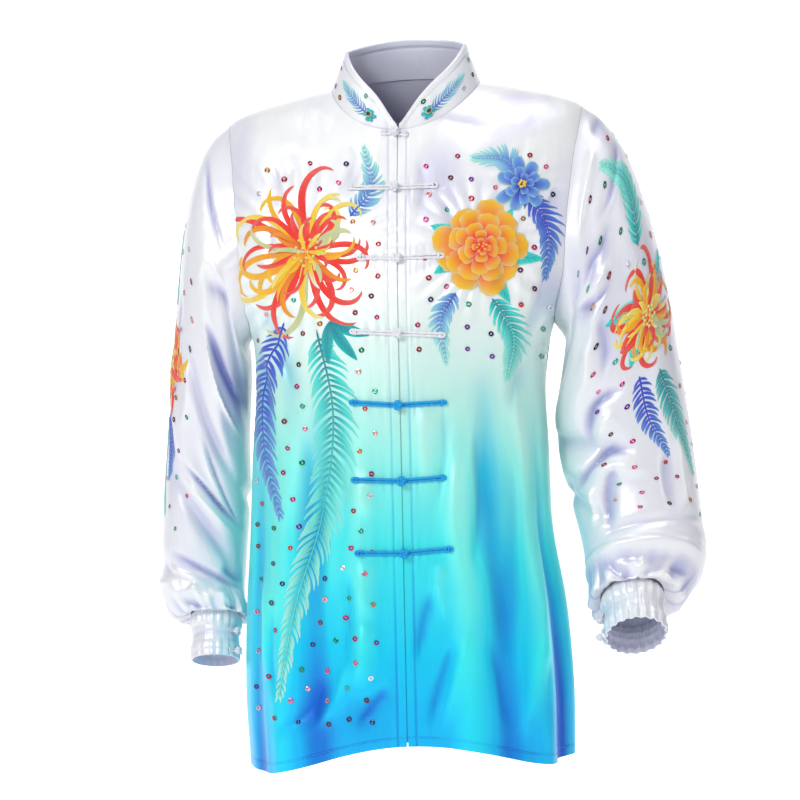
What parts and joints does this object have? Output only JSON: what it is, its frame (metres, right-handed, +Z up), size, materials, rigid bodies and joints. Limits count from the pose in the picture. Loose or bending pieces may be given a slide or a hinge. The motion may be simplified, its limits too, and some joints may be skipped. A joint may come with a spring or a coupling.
{
  "type": "martial arts jacket",
  "caption": "Long-sleeved stand-collar martial arts jacket of white-to-blue satin, with corded knot closures, side vents and gathered cuffs, hollow and filled out as worn.",
  "frame": {"origin": "middle of the neck seam at the height of its sides, where the wearer's shoulders hold the jacket", "axes": "+Z up, -Y to the front, +X to the wearer's left"},
  "size_m": [0.605, 0.265, 0.8037],
  "materials": {
    "satin_shaded": "smooth satin, white at the shoulders, shading through aqua to blue at the hem",
    "satin_white": "smooth white satin with a soft sheen",
    "cord_white": "white satin cord",
    "cord_blue": "blue satin cord"
  },
  "bodies": {
    "root": {"front_left": "satin_shaded", "front_right": "satin_shaded", "back_left": "satin_shaded", "back_right": "satin_shaded", "underlap": "satin_shaded", "collar": "satin_white", "sleeve_left_upper_front": "satin_white", "sleeve_left_upper_back": "satin_white", "sleeve_left_lower_front": "satin_white", "sleeve_left_lower_back": "satin_white", "sleeve_right_upper_front": "satin_white", "sleeve_right_upper_back": "satin_white", "sleeve_right_lower_front": "satin_white", "sleeve_right_lower_back": "satin_white", "cuff_left": "satin_white", "cuff_right": "satin_white", "frog_1_loop": "cord_white", "frog_1_knot": "cord_white", "frog_2_loop": "cord_white", "frog_2_knot": "cord_white", "frog_3_loop": "cord_white", "frog_3_knot": "cord_white", "frog_4_loop": "cord_white", "frog_4_knot": "cord_white", "frog_5_loop": "cord_blue", "frog_5_knot": "cord_blue", "frog_6_loop": "cord_blue", "frog_6_knot": "cord_blue", "frog_7_loop": "cord_blue", "frog_7_knot": "cord_blue", "cuff_knot_left_1": "cord_white", "cuff_knot_left_2": "cord_white", "cuff_knot_right_1": "cord_white", "cuff_knot_right_2": "cord_white"}
  },
  "joints": []
}
